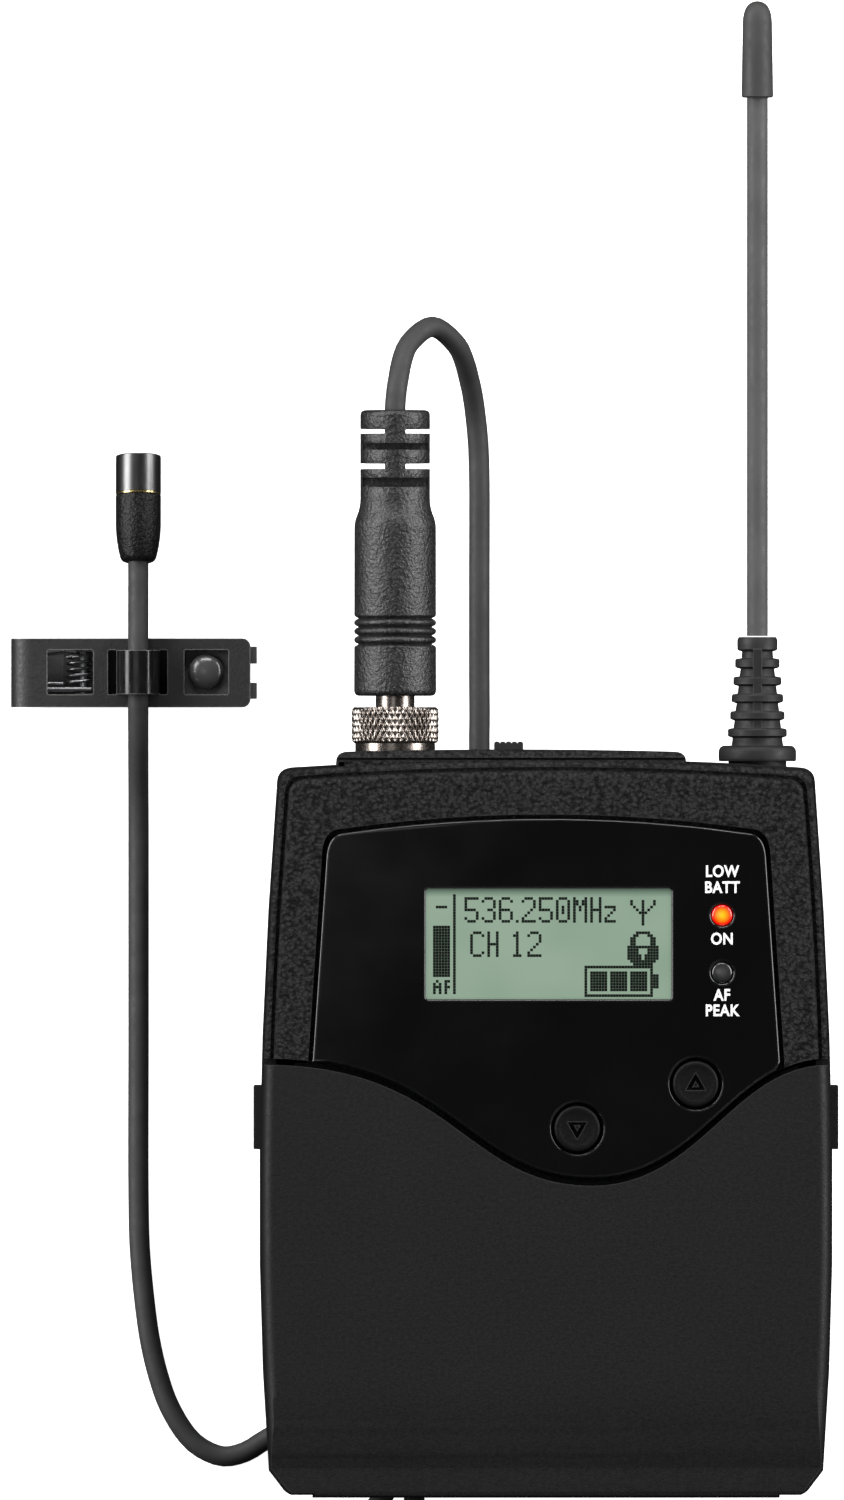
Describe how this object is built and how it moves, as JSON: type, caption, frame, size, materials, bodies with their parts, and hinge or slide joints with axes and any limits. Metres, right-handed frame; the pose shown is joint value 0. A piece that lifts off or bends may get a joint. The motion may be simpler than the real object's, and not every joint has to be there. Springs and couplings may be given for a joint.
{
  "type": "wireless bodypack transmitter",
  "caption": "Wireless bodypack transmitter with display, hinged battery cover, belt clip and flexible aerial, and a clip-on microphone plugged in on its cord.",
  "frame": {"origin": "middle of the belt clip's flat outer face, under the centre of the case, which is the surface the part lies on", "axes": "+X across the case, +Y along it towards the aerial, +Z out of the display"},
  "size_m": [0.0913, 0.2035, 0.03],
  "materials": {
    "shell_plastic": "fine matte moulded",
    "grained_plastic": "leather-grained moulded",
    "window_black": "polished",
    "display_glass": "clear over a grey-green display",
    "rubber_black": "matte moulded",
    "nickel": "bright nickel plate",
    "spring_steel": "drawn and stamped",
    "gold_plate": "gold plate",
    "dark_metal": "satin anodised",
    "circuit_board": "solder-masked board",
    "battery_wrap": "printed wrap, no lettering",
    "lamp_red": "lit lens",
    "lamp_grey": "unlit lens"
  },
  "bodies": {
    "case": {"rear_shell": "shell_plastic", "control_plate": "shell_plastic", "battery_tray": "shell_plastic", "clip_front_jaw": "shell_plastic", "front_frame": "grained_plastic", "top_panel": "grained_plastic", "display_panel": "window_black", "ir_window": "window_black", "clip_loop": "window_black", "lcd_window": "display_glass", "lcd_module": "display_glass", "cord_tie": "rubber_black", "antenna_boot": "rubber_black", "antenna_rod": "rubber_black", "antenna_tip": "rubber_black", "plug_grip": "rubber_black", "mic_body": "rubber_black", "cord_plug_side": "rubber_black", "cord_mic_side": "rubber_black", "cord_coil": "rubber_black", "battery_spring_left": "nickel", "battery_spring_right": "nickel", "contact_plate_left": "nickel", "contact_plate_right": "nickel", "jack_socket": "nickel", "jack_nut": "nickel", "plug_sleeve": "nickel", "cover_hinge_pin": "spring_steel", "mute_switch_body": "spring_steel", "case_screw_1": "spring_steel", "case_screw_2": "spring_steel", "case_screw_3": "spring_steel", "case_screw_4": "spring_steel", "belt_clip_pin": "spring_steel", "clip_pin": "spring_steel", "clip_spring": "spring_steel", "up_switch": "spring_steel", "down_switch": "spring_steel", "charge_contact_left": "gold_plate", "charge_contact_right": "gold_plate", "plug_pin": "gold_plate", "mic_ring": "gold_plate", "mic_cap": "dark_metal", "display_board": "circuit_board", "main_board": "circuit_board", "battery_lower": "battery_wrap", "battery_upper": "battery_wrap", "led_on": "lamp_red", "led_peak": "lamp_grey"},
    "cover": {"battery_cover": "shell_plastic"},
    "left_latch": {"latch_left": "shell_plastic"},
    "right_latch": {"latch_right": "shell_plastic"},
    "up_key": {"up_button": "window_black"},
    "down_key": {"down_button": "window_black"},
    "set_key": {"set_button": "rubber_black"},
    "power_key": {"power_button": "rubber_black"},
    "mute_slider": {"mute_switch": "shell_plastic"},
    "belt_clip": {"belt_clip": "spring_steel"},
    "lock_ring": {"lock_ring": "nickel"},
    "rear_jaw": {"clip_rear_jaw": "shell_plastic"}
  },
  "joints": [
    {"name": "cover_hinge", "type": "hinge", "parent": "case", "child": "cover", "pos_m": [0, -0.0374, 0.0259], "axis": [1, 0, 0], "range_deg": [0, 95]},
    {"name": "left_latch_push", "type": "slide", "parent": "case", "child": "left_latch", "axis": [1, 0, 0], "range_m": [0, 0.001], "stiffness_N_per_m": 900, "springref_m": -0.0006},
    {"name": "right_latch_push", "type": "slide", "parent": "case", "child": "right_latch", "axis": [-1, 0, 0], "range_m": [0, 0.001], "stiffness_N_per_m": 900, "springref_m": -0.0006},
    {"name": "up_key_press", "type": "slide", "parent": "case", "child": "up_key", "axis": [0, 0, -1], "range_m": [0, 0.0005], "stiffness_N_per_m": 1200, "springref_m": -0.0004},
    {"name": "down_key_press", "type": "slide", "parent": "case", "child": "down_key", "axis": [0, 0, -1], "range_m": [0, 0.0005], "stiffness_N_per_m": 1200, "springref_m": -0.0004},
    {"name": "set_key_press", "type": "slide", "parent": "case", "child": "set_key", "axis": [0, 0, -1], "range_m": [0, 0.0005], "stiffness_N_per_m": 1200, "springref_m": -0.0004},
    {"name": "power_key_press", "type": "slide", "parent": "case", "child": "power_key", "axis": [0, 0, -1], "range_m": [0, 0.0005], "stiffness_N_per_m": 1200, "springref_m": -0.0004},
    {"name": "mute_slide", "type": "slide", "parent": "case", "child": "mute_slider", "axis": [1, 0, 0], "range_m": [0, 0.002]},
    {"name": "belt_clip_flex", "type": "hinge", "parent": "case", "child": "belt_clip", "pos_m": [0, 0.026, 0.0038], "axis": [1, 0, 0], "range_deg": [0, 12], "stiffness_Nm_per_rad": 1.2, "springref_deg": -8.59},
    {"name": "lock_ring_turn", "type": "hinge", "parent": "case", "child": "lock_ring", "pos_m": [-0.0166, 0.044, 0.017], "axis": [0, 1, 0], "continuous": true},
    {"name": "rear_jaw_open", "type": "hinge", "parent": "case", "child": "rear_jaw", "pos_m": [-0.051, 0.0498, 0.0019], "axis": [0, 1, 0], "range_deg": [0, 18], "stiffness_Nm_per_rad": 0.06, "springref_deg": -14.32}
  ]
}
